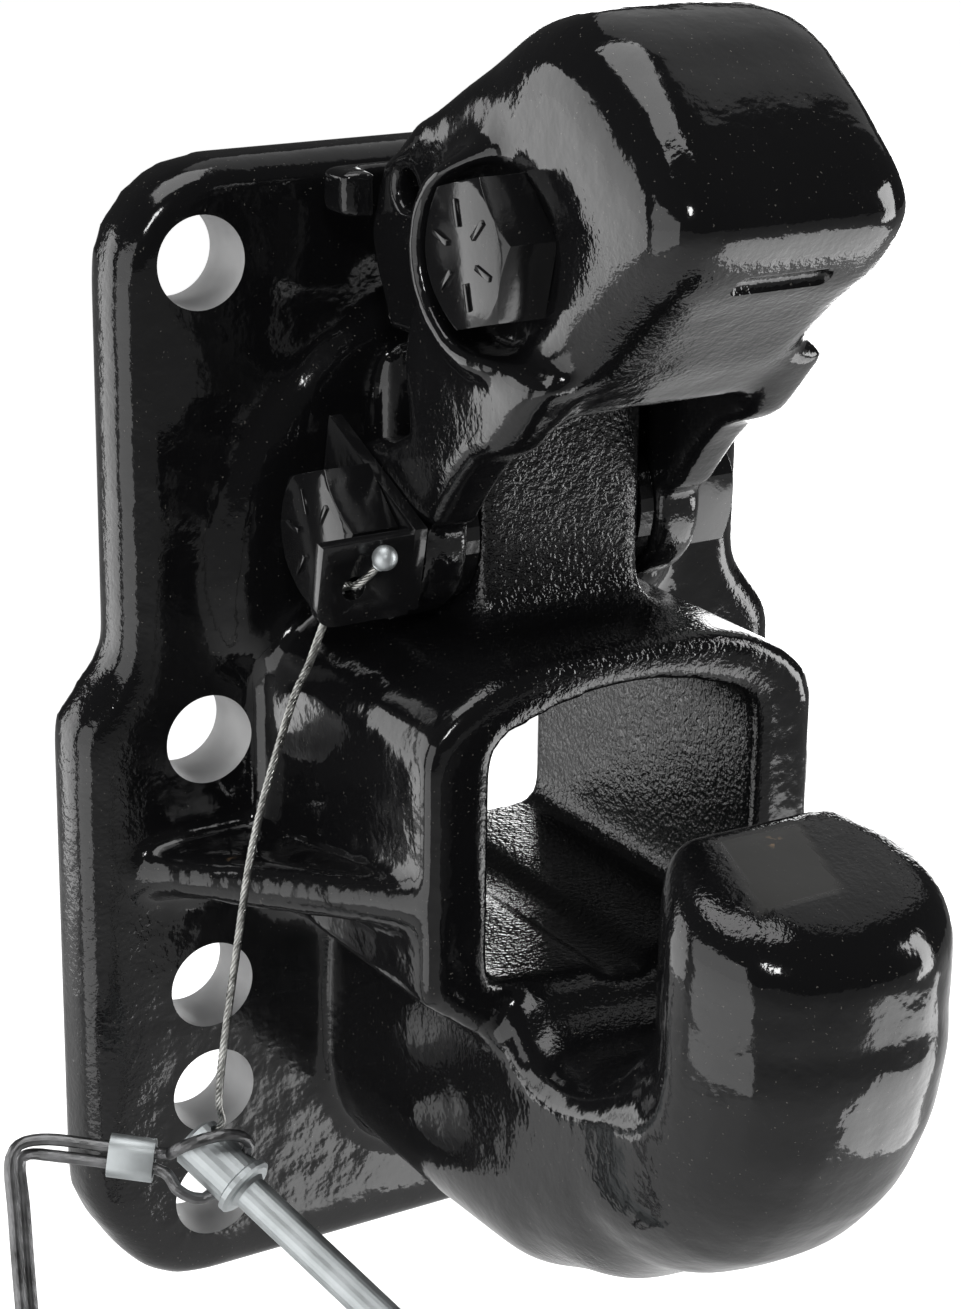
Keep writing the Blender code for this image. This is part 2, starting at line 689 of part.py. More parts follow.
def hexagon(name, y, z, turn, low, high, outer_side):
    """A hex prism along X with its outer corners turned off."""
    flat = HEX_ACROSS_FLATS / 2
    corner = flat / math.cos(math.pi / 6)
    body = cylinder(name, (0, y, z), (1, 0, 0), corner, low, high, 6, turn - 30)
    if outer_side < 0:
        profile = [(low - 0.01, flat), (low + HEX_CHAMFER, corner + 0.1), (high + 1, corner + 0.1)]
    else:
        profile = [(low - 1, corner + 0.1), (high - HEX_CHAMFER, corner + 0.1), (high + 0.01, flat)]
    return combine(body, turned("chamfer", profile, (0, y, z), (1, 0, 0), 36), "INTERSECT")


def bolt(name, y, z, diameter, seat, turn, end):
    """Hex head on the left of its seat, shank through to the right."""
    head = hexagon(name, y, z, turn, -seat - HEAD_HEIGHT, -seat, -1)
    radius = diameter / 2
    profile = [(-seat - 1, radius), (end - 1.2, radius), (end, radius - 1.2)]
    join(head, turned("shank", profile, (0, y, z), (1, 0, 0), 32))
    smooth(head)
    dress(head, (0.02, 0.02, 0.021), 0.25, 0.0)
    return head


def nut(name, y, z, diameter, seat, turn):
    body = hexagon(name, y, z, turn, seat, seat + NUT_HEIGHT, 1)
    cut(body, cross_bar("thread", y, z, diameter / 2 + GAP, seat - 5, seat + NUT_HEIGHT + 5))
    smooth(body)
    dress(body, (0.02, 0.02, 0.021), 0.25, 0.0)
    return body


def make_pivot_bolt():
    seat = ARM_OUTER + GAP + BRACKET_THICK + GAP
    end = ARM_OUTER + GAP + NUT_HEIGHT + BOLT_END
    return bolt("latch_pivot_bolt", PIVOT_Y, PIVOT_Z, PIVOT_BOLT_DIAMETER, seat, BRACKET_TILT + 30, end)


def make_pivot_nut():
    seat = ARM_OUTER + GAP
    return nut("latch_pivot_nut", PIVOT_Y, PIVOT_Z, PIVOT_BOLT_DIAMETER, seat, BRACKET_TILT + 30)


def make_lock_bolt():
    seat = POCKET_FLOOR + GAP
    end = seat + NUT_HEIGHT + BOLT_END
    return bolt("lock_bolt", LOCK_Y, LOCK_Z, LOCK_BOLT_DIAMETER, seat, LOCK_HEX_TURN, end)


def make_lock_nut():
    seat = POCKET_FLOOR + GAP
    return nut("lock_bolt_nut", LOCK_Y, LOCK_Z, LOCK_BOLT_DIAMETER, seat, LOCK_HEX_TURN)


def make_washer(name, side):
    low, high = sorted((side * (COLUMN_HALF + GAP), side * (ARM_INNER - GAP)))
    washer = cross_bar(name, PIVOT_Y, PIVOT_Z, WASHER_RADIUS, low, high, 36)
    bore = PIVOT_BOLT_DIAMETER / 2 + GAP
    cut(washer, cross_bar("bore", PIVOT_Y, PIVOT_Z, bore, low - 2, high + 2))
    smooth(washer)
    dress(washer, (0.03, 0.03, 0.031), 0.3, 0.2)
    return washer


def tilted(forward, up):
    """A (y, z) place from the pivot, along and across the tilted bracket."""
    angle = math.radians(BRACKET_TILT)
    y = PIVOT_Y - forward * math.cos(angle) + up * -math.sin(angle)
    z = PIVOT_Z - forward * math.sin(angle) + up * math.cos(angle)
    return (y, z)


def make_bracket():
    outer = -ARM_OUTER - GAP - BRACKET_THICK
    inner = -ARM_OUTER - GAP
    face = HEX_ACROSS_FLATS / 2 + FLANGE_CLEARANCE
    front = face + BRACKET_THICK
    sheet = [tilted(-BRACKET_BACK, -BRACKET_BOTTOM), tilted(-BRACKET_BACK, BRACKET_TOP)]
    sheet += [tilted(front, FLANGE_TOP + 1), tilted(front, -FLANGE_BOTTOM + 1)]
    sheet += [tilted(front - 6, -BRACKET_BOTTOM)]
    bracket = prism("lanyard_bracket", sheet, "X", outer, inner)
    strip = [tilted(face, -FLANGE_BOTTOM), tilted(face, FLANGE_TOP)]
    strip += [tilted(front, FLANGE_TOP), tilted(front, -FLANGE_BOTTOM)]
    flange = prism("flange", strip, "X", FLANGE_END, outer + 0.5)
    round_edges(flange, FLANGE_CORNER, 4, lambda x, y, z: x < FLANGE_END + 1 and z < PIVOT_Z, 60)
    join(bracket, flange)
    bore = PIVOT_BOLT_DIAMETER / 2 + GAP
    cut(bracket, cross_bar("bore", PIVOT_Y, PIVOT_Z, bore, outer - 2, inner + 2))
    angle = math.radians(BRACKET_TILT)
    along = (0, -math.cos(angle), -math.sin(angle))
    start = tilted(0, -CABLE_HOLE_DROP)
    radius = CABLE_HOLE_DIAMETER / 2
    place = (CABLE_HOLE_X, start[0], start[1])
    cut(bracket, cylinder("cable_hole", place, along, radius, face - 3, front + 3, 20))
    smooth(bracket)
    dress(bracket, (0.022, 0.022, 0.023), 0.25, 0.0)
    return bracket


def lever_outline():
    tooth = CROWN_RADIUS + TOOTH_CLEARANCE
    outline = arc(LOCK_Y, LOCK_Z, HUB_RADIUS, 80, 265, 12)
    outline += [(-62, 102), (-46, 99), (-37.5, 96)]
    outline += arc(PIVOT_Y, PIVOT_Z, tooth, 77, 62, 4)
    outline += [(-24.5, 92), (-26.2, 104), (-26.8, LIP_BOTTOM + 2), (-24, LIP_BOTTOM + 3), (-24, LIP_TOP - 2)]
    outline += [(-30, LIP_TOP - 0.8), (-42, 132.5), (-60, 135.7)]
    return outline


def make_lever():
    lever = prism("lock_lever", lever_outline(), "X", LEVER_LEFT, SLOT_HALF - GAP)
    reach = LOCK_Y + LIP_INNER_RADIUS
    wing = BLOCK_HALF + 0.5
    half = [(0, reach), (wing, reach), (wing, reach - 7), (LIP_HALF, reach - 5)]
    half += [(LIP_HALF, LIP_BACK - 1.5), (LIP_HALF - 4, LIP_BACK), (0, LIP_BACK)]
    lip = prism("lip", mirrored(half), "Z", LIP_BOTTOM, LIP_TOP)
    join(lever, round_edges(lip, 1.5, 2, lambda x, y, z: y > reach + 1 or abs(x) > wing, 50))
    bore = LOCK_BOLT_DIAMETER / 2 + GAP
    cut(lever, cross_bar("bore", LOCK_Y, LOCK_Z, bore, -60, 60))
    pin = LOCK_PIN_HOLE_DIAMETER / 2
    cut(lever, cross_bar("pin_bore", LOCK_PIN_HOLE_Y, LOCK_PIN_HOLE_Z, pin, -60, 60, 20))
    smooth(lever)
    dress(lever, (0.018, 0.018, 0.019), 0.25, 0.0)
    return lever


def make_spring():
    """A torsion spring beside the lever, one leg in the slot's round end, one over the lever."""
    radius = LOCK_BOLT_DIAMETER / 2 + GAP + SPRING_WIRE / 2 + 0.6
    start = -SLOT_HALF + GAP + SPRING_WIRE / 2
    route = [(start, LOCK_Y - SLOT_RADIUS + SPRING_WIRE + 2, LOCK_Z - radius + 5)]
    turns = SPRING_TURNS * 12
    for step in range(turns + 1):
        angle = math.radians(-100 - 30 * step - 180 * step / turns)
        x = start + SPRING_PITCH * (SPRING_TURNS - 0.2) * step / turns
        route.append((x, LOCK_Y + radius * math.cos(angle), LOCK_Z + radius * math.sin(angle)))
    finish = route[-1][0]
    over = LOCK_Z + HUB_RADIUS + SPRING_WIRE / 2 + 2 * GAP
    route += [(finish, LOCK_Y + 11, LOCK_Z + radius + 3), (finish, LOCK_Y + 18, over)]
    route += [(finish + 5, LOCK_Y + 20, over + 0.2), (finish + 10, LOCK_Y + 20, over + 0.2)]
    spring = wire("lock_spring", route, SPRING_WIRE, 78)
    smooth(spring)
    dress(spring, (0.25, 0.25, 0.26), 0.35, 0.9)
    return spring


def pin_axes():
    """Unit vectors along the pin, along the bail's eye, and square to both."""
    along = Vector(PIN_DIRECTION).normalized()
    eye = Vector(BAIL_EYE)
    eye = (eye - along * eye.dot(along)).normalized()
    return along, eye, along.cross(eye)


def from_pin(along_pin, along_eye, square):
    """A place in millimetres, measured from the bail hole along the pin's own axes."""
    along, eye, third = pin_axes()
    place = Vector(PIN_HEAD) + along * along_pin + eye * along_eye + third * square
    return tuple(place)


def cable_entry():
    """The direction in which the cable leaves the pin's head."""
    along = Vector(PIN_DIRECTION).normalized()
    up = Vector((0.35, -0.42, 0.835))
    return (up - along * up.dot(along)).normalized()


def cable_foot(reach):
    along = Vector(PIN_DIRECTION).normalized()
    return tuple(Vector(PIN_HEAD) - along * PIN_STOP_BACK + cable_entry() * reach)


def make_lock_pin():
    head = PIN_HEAD_DIAMETER / 2
    collar = PIN_COLLAR_DIAMETER / 2
    shank = PIN_DIAMETER / 2
    profile = [(-PIN_HEAD_BACK, head - 1), (-PIN_HEAD_BACK + 1, head)]
    profile += [(PIN_HEAD_FRONT - PIN_COLLAR_WIDTH, head), (PIN_HEAD_FRONT - PIN_COLLAR_WIDTH + 0.6, collar)]
    profile += [(PIN_HEAD_FRONT - 0.6, collar), (PIN_HEAD_FRONT, collar - 0.8)]
    profile += [(PIN_HEAD_FRONT + 0.1, shank + 0.6), (PIN_HEAD_FRONT + 1, shank)]
    profile += [(PIN_LENGTH - 3, shank), (PIN_LENGTH - 0.8, shank - 1.4), (PIN_LENGTH, shank - 2.6)]
    pin = turned("lock_pin", profile, PIN_HEAD, PIN_DIRECTION, 28)
    along, eye, third = pin_axes()
    hole = BAIL_WIRE / 2 + GAP
    cut(pin, cylinder("cross_hole", PIN_HEAD, eye, hole, -12, 12, 16))
    bore = PIN_STOP_DIAMETER / 2 + GAP
    cut(pin, cylinder("stop_bore", PIN_HEAD, along, bore, -PIN_HEAD_BACK - 2, -4.6, 18))
    entry = CABLE_DIAMETER / 2 + GAP
    cut(pin, cylinder("entry", cable_foot(0), cable_entry(), entry, 0, 12, 16))
    smooth(pin)
    dress(pin, (0.62, 0.64, 0.66), 0.3, 1.0)
    return pin


def by_flange(reach, across, up):
    """A place given from the flange's inner face, the cable hole and the bracket's tilt."""
    y, z = tilted(HEX_ACROSS_FLATS / 2 + FLANGE_CLEARANCE + reach, up - CABLE_HOLE_DROP)
    return (CABLE_HOLE_X + across, y, z)


def make_cable():
    front = BRACKET_THICK
    towards = (Vector(by_flange(front + 2, 1.6, 3)) - Vector(BALL_PLACE)).normalized()
    top = Vector(BALL_PLACE) + towards * (BALL_DIAMETER / 2 + GAP)
    route = [tuple(top), by_flange(front + 1.9, 1.5, 3.1), by_flange(front - 0.2, 0.2, 0.5)]
    route += [by_flange(0.8, -0.1, -0.4), by_flange(-1.5, -1.0, -2.6), by_flange(-1.9, -2.2, -6.2)]
    route += [(-57.6, -57.8, 36.4), (-60.3, -57.8, 30), (-65, -58, 20.8), (-74.1, -59, -5.5)]
    route += [(-79.7, -60, -33.4), (-83.1, -60, -55.7), (-83.2, -58.4, -66.5)]
    route += [cable_foot(8.5), cable_foot(PIN_STOP_DIAMETER / 2 + GAP + 0.2)]
    cable = wire("lanyard_cable", route, CABLE_DIAMETER, 62)
    smooth(cable)
    dress(cable, (0.6, 0.6, 0.58), 0.35, 0.9)
    return cable


def ball(name, place, diameter, direction):
    """A plated ball whose poles lie along the cable."""
    shape = bmesh.new()
    bmesh.ops.create_uvsphere(shape, u_segments=20, v_segments=12, radius=diameter / 2 * MM,
                              matrix=placement(place, direction))
    body = from_bmesh(name, shape)
    smooth(body, 60)
    dress(body, (0.66, 0.67, 0.68), 0.3, 1.0)
    return body


def bail_run(side):
    """One of the bail's two runs, from its eye in the pin's head to above the bow."""
    route = [from_pin(0, side * 1.6, 0), from_pin(0, side * 6.4, 0)]
    if side > 0:
        route += [from_pin(-1.2, 8.8, BAIL_SIDE * 2), from_pin(-5, 6.4, BAIL_SIDE * 7)]
        route += [from_pin(-9.5, -1, BAIL_SIDE * 9.5)]
    else:
        route += [from_pin(-1.5, -8.8, BAIL_SIDE * 1.5), from_pin(-6, -9.8, BAIL_SIDE * 4.5)]
    spread = side * (BAIL_WIRE / 2 + GAP)
    start, along, across = ferrule_axes()
    for reach in (-3, 1, FERRULE_LENGTH - 1, FERRULE_LENGTH + 3):
        route.append(tuple(start + along * reach + across * spread))
    route.append((-115.5 + spread * 0.1, -37.2 + spread * 0.25, -78.6 + spread * 0.95))
    x, y, z = -120.8, -34.5, -80.2
    route.append((x - spread * 0.75, y - spread * 0.4, z + spread * 0.75))
    for x, y, z in ((-122.2, -38.5, -92), (-124.1, -45.3, -112.1), (-125.5, -53.0, -133)):
        route.append((x - spread * 0.9, y - spread * 0.45, z))
    return route


def bail_hairpin():
    """The bail's closed end: a hairpin that lies across one side of the pin's shank near its tip."""
    clear = -(PIN_DIAMETER / 2 + BAIL_WIRE / 2 + HAIRPIN_PLAY)
    middle = PIN_LENGTH - HAIRPIN_FROM_TIP
    half = HAIRPIN_WIDTH / 2
    near = [from_pin(middle - half, reach, clear) for reach in (-16, -5, 5)]
    far = [from_pin(middle + half, reach, clear) for reach in (5, -5, -16)]
    turn = [from_pin(middle - half * 0.7, 9, clear), from_pin(middle, 10.6, clear)]
    turn.append(from_pin(middle + half * 0.7, 9, clear))
    return near + turn + far


def make_bail():
    """One wire from the head's left hole, across the pin's shank, back to its right hole."""
    under = [(-121.5, -66, -150), (-108, -84, -159), (-88, -104, -154)]
    near = [(x, y + 1.7, z - 1.2) for x, y, z in under]
    far = [(x + 0.8, y - 1.7, z + 1.9) for x, y, z in under]
    route = bail_run(-1) + near + bail_hairpin() + list(reversed(far)) + list(reversed(bail_run(1)))
    bail = wire("pin_bail", route, BAIL_WIRE, 150)
    smooth(bail)
    dress(bail, (0.42, 0.43, 0.44), 0.35, 0.9)
    return bail


def place_origin(piece, x, y, z):
    """Move a piece's origin onto its joint's axis without moving its shape."""
    offset = point(x, y, z)
    for vertex in piece.data.vertices:
        vertex.co -= offset
    piece.location = offset


def ferrule_axes():
    """Where the ferrule starts, the way it runs and the way the two wires lie apart."""
    start = Vector(FERRULE_START)
    along = (Vector(FERRULE_TOWARD) - start).normalized()
    across = Vector((0.1, 0.25, 0.95))
    return start, along, (across - along * across.dot(along)).normalized()


def stadium(radius):
    """Two half circles round the bail's two runs."""
    apart = BAIL_WIRE / 2 + GAP
    return arc(apart, 0, radius, -90, 90, 12) + arc(-apart, 0, radius, 90, 270, 12)


def make_ferrule():
    """A sleeve crimped to a flat oval, with the bail's two runs side by side in it."""
    start, along, apart = ferrule_axes()
    third = along.cross(apart)
    frame = Matrix((apart, third, along)).transposed().to_4x4()
    frame = Matrix.Translation(point(*start)) @ frame
    inner = BAIL_WIRE / 2 + GAP + FERRULE_PLAY
    outlines = [stadium(inner + FERRULE_WALL), stadium(inner)]
    ferrule = extruded("bail_ferrule", outlines, 0, FERRULE_LENGTH, frame)
    smooth(ferrule)
    dress(ferrule, (0.6, 0.61, 0.62), 0.3, 1.0)
    return ferrule


def build():
    clear_scene()
    make_hook_body()
    latch = make_latch()
    make_pivot_bolt()
    make_pivot_nut()
    lock_bolt = make_lock_bolt()
    lock_nut = make_lock_nut()
    make_washer("thrust_washer_left", -1)
    make_washer("thrust_washer_right", 1)
    make_bracket()
    lever = make_lever()
    spring = make_spring()
    make_lock_pin()
    make_cable()
    ball("lanyard_ball_stop", BALL_PLACE, BALL_DIAMETER, (0, -1, 0))
    ball("lanyard_end_stop", cable_foot(0), PIN_STOP_DIAMETER, cable_entry())
    bail = make_bail()
    ferrule = make_ferrule()
    for piece in (latch, lock_bolt, lock_nut):
        place_origin(piece, 0, PIVOT_Y, PIVOT_Z)
    for piece in (lever, spring):
        place_origin(piece, 0, LOCK_Y, LOCK_Z)
    for piece in (bail, ferrule):
        place_origin(piece, *PIN_HEAD)


build()
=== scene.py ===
import math
import bpy
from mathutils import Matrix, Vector


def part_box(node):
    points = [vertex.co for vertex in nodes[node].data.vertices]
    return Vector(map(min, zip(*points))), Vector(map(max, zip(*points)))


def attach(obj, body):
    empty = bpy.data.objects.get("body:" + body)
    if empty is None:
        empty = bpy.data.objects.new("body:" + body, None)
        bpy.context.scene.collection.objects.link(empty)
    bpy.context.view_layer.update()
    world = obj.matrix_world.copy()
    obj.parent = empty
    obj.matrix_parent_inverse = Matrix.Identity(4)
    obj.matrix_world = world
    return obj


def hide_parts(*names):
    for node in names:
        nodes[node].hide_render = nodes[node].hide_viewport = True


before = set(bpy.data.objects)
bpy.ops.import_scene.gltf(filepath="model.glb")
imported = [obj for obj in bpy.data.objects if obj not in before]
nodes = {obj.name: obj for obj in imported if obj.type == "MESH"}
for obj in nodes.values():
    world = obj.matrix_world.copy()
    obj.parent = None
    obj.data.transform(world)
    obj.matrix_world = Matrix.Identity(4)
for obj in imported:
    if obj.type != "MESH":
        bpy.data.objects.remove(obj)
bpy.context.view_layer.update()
mm = 0.001
print("frame loaded,", len(nodes), "nodes")

cameraView = {
    "place": (-0.356042, -0.603505, 0.194937),
    "turn": (70.7599, -0.8235, -31.4927),
    "lens": 85.99,
}


def makeCamera():
    lens = bpy.data.cameras.new("camera")
    lens.lens = cameraView["lens"]
    lens.sensor_width = 36.0
    lens.sensor_fit = "AUTO"
    lens.clip_start = 0.01
    lens.clip_end = 50.0
    camera = bpy.data.objects.new("camera", lens)
    camera.location = cameraView["place"]
    camera.rotation_euler = [math.radians(angle) for angle in cameraView["turn"]]
    bpy.context.scene.collection.objects.link(camera)
    bpy.context.scene.camera = camera


makeCamera()


# selecting, applying and placing, as by hand
def selectOnly(piece):
    if bpy.context.mode != "OBJECT":
        bpy.ops.object.mode_set(mode="OBJECT")
    bpy.ops.object.select_all(action="DESELECT")
    piece.hide_viewport = False
    piece.select_set(True)
    bpy.context.view_layer.objects.active = piece


def applyAll(piece):
    selectOnly(piece)
    for modifier in list(piece.modifiers):
        bpy.ops.object.modifier_apply(modifier=modifier.name)


def settle(piece):
    selectOnly(piece)
    bpy.ops.object.transform_apply(location=True, rotation=True, scale=True)


def joinInto(piece, parts):
    selectOnly(piece)
    for part in parts:
        part.select_set(True)
    bpy.ops.object.join()
    return piece


def turnTo(direction):
    return Vector(direction).to_track_quat("Z", "Y")


def addCylinder(name, centre, direction, radius, depth, sides=64):
    bpy.ops.object.select_all(action="DESELECT")
    bpy.ops.mesh.primitive_cylinder_add(vertices=sides, radius=radius, depth=depth, location=centre)
    piece = bpy.context.object
    piece.name = name
    piece.rotation_mode = "QUATERNION"
    piece.rotation_quaternion = turnTo(direction)
    settle(piece)
    return piece


def copyOf(nodeName, pieceName):
    # a welded copy of a node's mesh, with its old normals and finish dropped
    piece = bpy.data.objects.new(pieceName, nodes[nodeName].data.copy())
    piece.data.name = pieceName
    bpy.context.scene.collection.objects.link(piece)
    piece.data.materials.clear()
    selectOnly(piece)
    bpy.ops.mesh.customdata_custom_splitnormals_clear()
    bpy.ops.object.mode_set(mode="EDIT")
    bpy.ops.mesh.select_all(action="SELECT")
    bpy.ops.mesh.remove_doubles(threshold=0.000002)
    bpy.ops.mesh.dissolve_limited(angle_limit=math.radians(0.5))
    bpy.ops.object.mode_set(mode="OBJECT")
    return piece


def dress(piece, body, slotName, replaced, *finishes):
    for finish in finishes:
        piece.data.materials.append(finish)
    if replaced:
        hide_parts(*replaced)
    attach(piece, body)


def refinish(nodeName, finish):
    # a CAD node that keeps its own shape
    node = nodes[nodeName]
    node.data.materials.clear()
    node.data.materials.append(finish)
    return node


def smoothBy(piece, angle):
    selectOnly(piece)
    bpy.ops.object.shade_smooth_by_angle(angle=math.radians(angle))


def paintWeights(piece, name, rule):
    # a number for each point, from its place in millimetres
    layer = piece.data.attributes.new(name, "FLOAT", "POINT")
    layer.data.foreach_set("value", [rule(*(vertex.co / mm)) for vertex in piece.data.vertices])


def ease(value, low, high):
    share = min(1.0, max(0.0, (value - low) / (high - low)))
    return share * share * (3 - 2 * share)


# nodes for the finishes
def addNode(tree, kind, inputs=None, **settings):
    made = tree.nodes.new(kind)
    for name, value in settings.items():
        setattr(made, name, value)
    for name, value in (inputs or {}).items():
        made.inputs[name].default_value = value
    return made


def link(tree, source, target):
    tree.links.new(source, target)


def startFinish(name):
    finish = bpy.data.materials.new(name)
    finish.use_nodes = True
    tree = finish.node_tree
    return finish, tree, tree.nodes["Principled BSDF"]


def times(tree, source, factor):
    made = addNode(tree, "ShaderNodeMath", {1: factor}, operation="MULTIPLY")
    link(tree, source, made.inputs[0])
    return made.outputs[0]


def plus(tree, first, second):
    made = addNode(tree, "ShaderNodeMath", operation="ADD")
    link(tree, first, made.inputs[0])
    link(tree, second, made.inputs[1])
    return made.outputs[0]


def product(tree, first, second):
    made = addNode(tree, "ShaderNodeMath", operation="MULTIPLY")
    link(tree, first, made.inputs[0])
    link(tree, second, made.inputs[1])
    return made.outputs[0]


def noise(tree, coordinates, scale, detail=2.0, roughness=0.5):
    made = addNode(tree, "ShaderNodeTexNoise", {"Scale": scale, "Detail": detail, "Roughness": roughness})
    link(tree, coordinates, made.inputs["Vector"])
    return made.outputs["Fac"]


def between(tree, source, low, high, start, end):
    limits = {"From Min": low, "From Max": high, "To Min": start, "To Max": end}
    made = addNode(tree, "ShaderNodeMapRange", limits)
    link(tree, source, made.inputs["Value"])
    return made.outputs["Result"]


def blendColours(tree, share, first, second):
    made = addNode(tree, "ShaderNodeMix", data_type="RGBA")
    link(tree, share, made.inputs["Factor"])
    for socket, value in ((made.inputs[6], first), (made.inputs[7], second)):
        if isinstance(value, tuple):
            socket.default_value = (*value, 1.0)
        else:
            link(tree, value, socket)
    return made.outputs[2]


paintDetail = {
    "cloudScale": 28.0,
    "dustScale": 1500.0,
    "dustRange": (0.735, 0.77),
    "dustColour": (0.21, 0.2, 0.18),
    "patchColour": (0.05, 0.049, 0.046),
    "patchShare": 0.6,
    "patchDull": 0.22,
    "patchRelief": 0.25,
    "chipScale": 420.0,
    "chipRange": (0.52, 0.56),
    "chipColour": (0.36, 0.24, 0.14),
}


def paintFinish(name, look):
    # thick black gloss over rough iron: slow waves, orange peel and the casting's own pebbles
    finish, tree, shader = startFinish(name)
    place = addNode(tree, "ShaderNodeTexCoord").outputs["Object"]
    grain = addNode(tree, "ShaderNodeAttribute", attribute_name="grain").outputs["Fac"]
    patch = addNode(tree, "ShaderNodeAttribute", attribute_name="patch").outputs["Fac"]
    chips = addNode(tree, "ShaderNodeAttribute", attribute_name="chips").outputs["Fac"]
    wave = times(tree, noise(tree, place, look["waveScale"], 1.5), look["waveHeight"])
    peel = times(tree, noise(tree, place, look["peelScale"], 2.0), look["peelHeight"])
    pebble = noise(tree, place, look["pebbleScale"], 2.0, 0.55)
    pebble = between(tree, pebble, 0.35, 0.68, 0.0, look["pebbleHeight"])
    pebble = product(tree, pebble, grain)
    height = plus(tree, plus(tree, wave, peel), pebble)
    height = product(tree, height, between(tree, patch, 0.0, 1.0, 1.0, paintDetail["patchRelief"]))
    bump = addNode(tree, "ShaderNodeBump", {"Strength": 1.0, "Distance": 1.0})
    link(tree, height, bump.inputs["Height"])
    link(tree, bump.outputs["Normal"], shader.inputs["Normal"])
    cloud = noise(tree, place, paintDetail["cloudScale"], 3.0)
    gloss = between(tree, cloud, 0.3, 0.7, look["gloss"], look["dull"])
    gloss = plus(tree, gloss, times(tree, patch, paintDetail["patchDull"]))
    link(tree, gloss, shader.inputs["Roughness"])
    specks = noise(tree, place, paintDetail["dustScale"], 1.0)
    dust = between(tree, specks, *paintDetail["dustRange"], 0.0, look["dust"])
    film = blendColours(tree, dust, look["colour"], paintDetail["dustColour"])
    worn = times(tree, patch, paintDetail["patchShare"])
    film = blendColours(tree, worn, film, paintDetail["patchColour"])
    flakes = noise(tree, place, paintDetail["chipScale"], 3.0)
    flake = between(tree, flakes, *paintDetail["chipRange"], 0.0, 1.0)
    film = blendColours(tree, product(tree, chips, flake), film, paintDetail["chipColour"])
    link(tree, film, shader.inputs["Base Color"])
    shader.inputs["Specular IOR Level"].default_value = 0.5
    return finish


def metalFinish(name, look):
    # plated or drawn steel, with a fine noise relief and a mottled gloss
    finish, tree, shader = startFinish(name)
    place = addNode(tree, "ShaderNodeTexCoord").outputs["Object"]
    spread = noise(tree, place, look["scale"], 3.0)
    tint = blendColours(tree, between(tree, spread, 0.3, 0.7, 0.0, 1.0), look["dark"], look["light"])
    link(tree, tint, shader.inputs["Base Color"])
    link(tree, between(tree, spread, 0.3, 0.7, look["gloss"], look["dull"]), shader.inputs["Roughness"])
    fine = noise(tree, place, look["scale"] * 6, 2.0)
    bump = addNode(tree, "ShaderNodeBump", {"Strength": 1.0, "Distance": 1.0})
    link(tree, times(tree, fine, look["height"]), bump.inputs["Height"])
    link(tree, bump.outputs["Normal"], shader.inputs["Normal"])
    shader.inputs["Metallic"].default_value = look["metal"]
    return finish


castingPaint = paintFinish("gloss_black_casting_paint", {
    "colour": (0.006, 0.006, 0.0065),
    "gloss": 0.05,
    "dull": 0.13,
    "waveScale": 70.0,
    "waveHeight": 0.00045,
    "peelScale": 230.0,
    "peelHeight": 0.00014,
    "pebbleScale": 800.0,
    "pebbleHeight": 0.00014,
    "dust": 0.5,
})
hardwarePaint = paintFinish("gloss_black_hardware_paint", {
    "colour": (0.008, 0.008, 0.0085),
    "gloss": 0.08,
    "dull": 0.18,
    "waveScale": 160.0,
    "waveHeight": 0.00006,
    "peelScale": 600.0,
    "peelHeight": 0.00003,
    "pebbleScale": 900.0,
    "pebbleHeight": 0.00003,
    "dust": 0.3,
})
boredSteel = metalFinish("bored_hole_steel", {
    "dark": (0.34, 0.34, 0.345), "light": (0.5, 0.5, 0.5), "scale": 60.0,
    "gloss": 0.45, "dull": 0.6, "height": 0.00002, "metal": 0.0,
})
zincPlate = metalFinish("zinc_plate", {
    "dark": (0.40, 0.425, 0.43), "light": (0.58, 0.61, 0.62), "scale": 130.0,
    "gloss": 0.42, "dull": 0.55, "height": 0.00002, "metal": 1.0,
})
springSteel = metalFinish("spring_steel_wire", {
    "dark": (0.10, 0.10, 0.10), "light": (0.26, 0.26, 0.265), "scale": 170.0,
    "gloss": 0.34, "dull": 0.5, "height": 0.00002, "metal": 1.0,
})
ropeSteel = metalFinish("rope_steel", {
    "dark": (0.2, 0.2, 0.19), "light": (0.5, 0.5, 0.48), "scale": 420.0,
    "gloss": 0.25, "dull": 0.4, "height": 0.00001, "metal": 1.0,
})
print("finishes made")


# the lanyard: six strands laid round a core, along the route that the source follows
cable = {
    "diameter": 0.0018,
    "strandRadius": 0.0003,
    "layRadius": 0.0006,
    "lay": 0.0085,
    "steps": 300,
    "pathEvery": 8,
    "route": [
        (-0.05019, -0.06836, -0.00145), (-0.0517, -0.06682, -0.00391), (-0.053, -0.06426, -0.00606),
        (-0.0533, -0.06213, -0.00656), (-0.0542, -0.05945, -0.00828), (-0.0554, -0.05837, -0.01174),
        (-0.0576, -0.0578, -0.0176), (-0.0603, -0.0578, -0.024), (-0.065, -0.058, -0.0332),
        (-0.0741, -0.059, -0.0595), (-0.0797, -0.06, -0.0874), (-0.0831, -0.06, -0.1097),
        (-0.0832, -0.0584, -0.1205), (-0.08165, -0.05662, -0.1265), (-0.08351, -0.05456, -0.13159),
    ],
}


